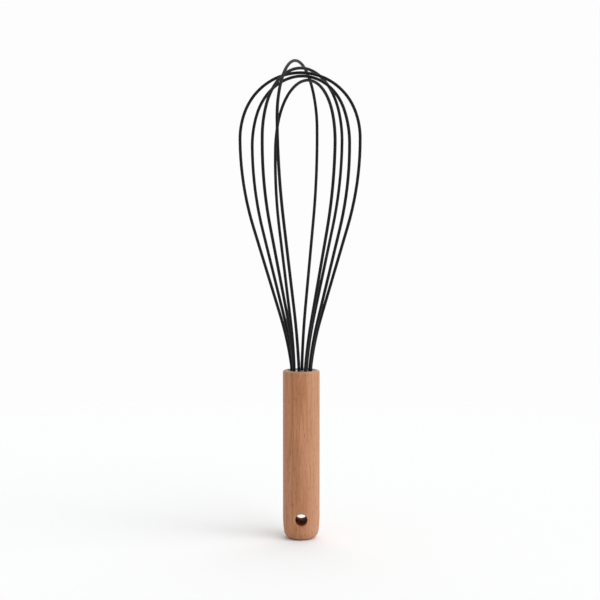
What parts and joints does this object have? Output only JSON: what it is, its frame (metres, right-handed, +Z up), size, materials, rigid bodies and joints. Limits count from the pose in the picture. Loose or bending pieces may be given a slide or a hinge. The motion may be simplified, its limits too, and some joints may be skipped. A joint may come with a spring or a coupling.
{
  "type": "balloon whisk",
  "caption": "Upright balloon whisk: coated wire loops nested into a pear-shaped cage, cast into a round beech handle with a hanging hole.",
  "frame": {"origin": "centre of the handle's flat foot, on the surface that the whisk stands on", "axes": "+Z up along the handle towards the crown of the loops, and the hanging hole runs along Y"},
  "size_m": [0.0762, 0.0791, 0.2978],
  "materials": {
    "beech": "oiled, satin",
    "grey_resin": "cast, glossy",
    "spring_steel": "drawn",
    "black_coating": "satin"
  },
  "bodies": {
    "root": {"handle": "beech", "resin_seat": "grey_resin", "loop_core_1": "spring_steel", "loop_core_2": "spring_steel", "loop_core_3": "spring_steel", "loop_core_4": "spring_steel", "loop_core_5": "spring_steel", "loop_coating_1": "black_coating", "loop_coating_2": "black_coating", "loop_coating_3": "black_coating", "loop_coating_4": "black_coating", "loop_coating_5": "black_coating"}
  },
  "joints": []
}
